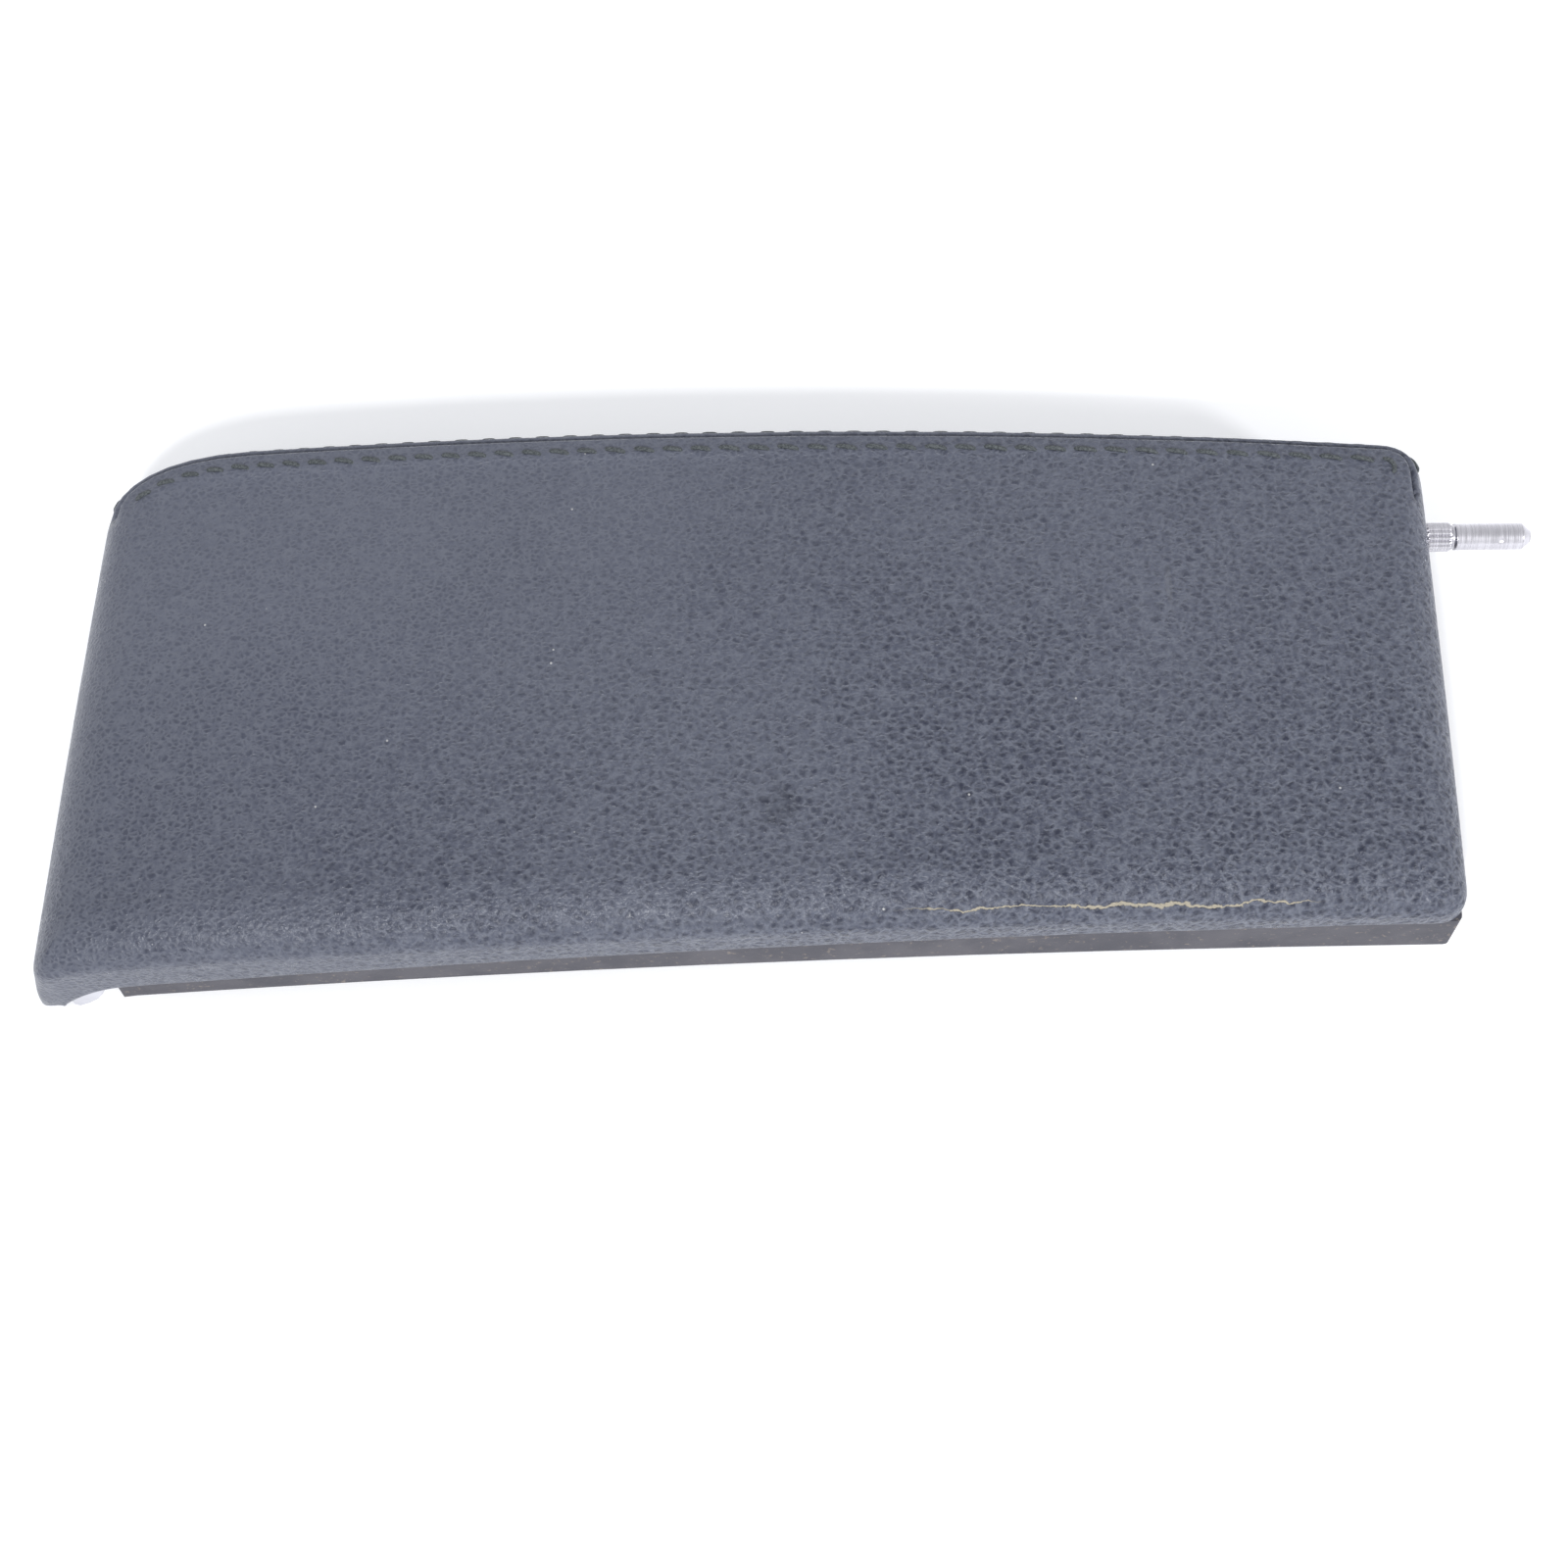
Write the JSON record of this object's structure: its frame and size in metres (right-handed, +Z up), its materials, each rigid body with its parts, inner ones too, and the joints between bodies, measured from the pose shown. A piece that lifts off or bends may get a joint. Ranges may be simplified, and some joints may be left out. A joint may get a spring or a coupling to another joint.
{
  "type": "centre console armrest lid wing",
  "caption": "Leather-covered wing of a split armrest lid: foam on a plastic carrier, hinge pin along one long side, sprung release lever under the front nose.",
  "frame": {"origin": "centre of the hinge pin's rear end face, on the hinge axis", "axes": "+X along the hinge axis to the rear, +Y to the outer (hinge) side, +Z up out of the leather"},
  "size_m": [0.3278, 0.1261, 0.0378],
  "materials": {
    "leather": "grained, satin",
    "thread": "twisted thread",
    "foam": "open-cell foam",
    "black_plastic": "moulded",
    "cover_plastic": "soft-touch, matte",
    "steel": "satin",
    "bronze": "sintered",
    "rubber": "matte",
    "silver_plastic": "satin silver paint"
  },
  "bodies": {
    "lid": {"leather_top_panel": "leather", "leather_side_panel": "leather", "stitch_row_top": "thread", "stitch_row_side": "thread", "foam_pad": "foam", "carrier_frame": "black_plastic", "lower_cover": "cover_plastic", "cover_screw_1": "steel", "cover_screw_2": "steel", "cover_screw_3": "steel", "cover_screw_4": "steel", "cover_screw_5": "steel", "cover_screw_6": "steel", "bump_stop_1": "rubber", "bump_stop_2": "rubber", "bump_stop_3": "rubber", "bump_stop_4": "rubber", "rear_hinge_bush": "bronze", "front_hinge_bush": "bronze", "lever_pivot_pin": "steel", "lever_spring": "steel"},
    "pin": {"hinge_pin": "steel", "pin_circlip": "steel"},
    "lever": {"release_lever": "silver_plastic", "latch_hook": "steel"}
  },
  "joints": [
    {"name": "lid_swing", "type": "hinge", "parent": "lid", "child": "pin", "pos_m": [-0.0243, 0, 0], "axis": [1, 0, 0], "range_deg": [0, 95]},
    {"name": "release_lever_lift", "type": "hinge", "parent": "lid", "child": "lever", "pos_m": [-0.30169, -0.06233, -0.0062], "axis": [0.0597, 0.9982, 0], "range_deg": [0, 8], "stiffness_Nm_per_rad": 0.3, "springref_deg": -11.46, "deforming": ["lever_spring"]}
  ]
}
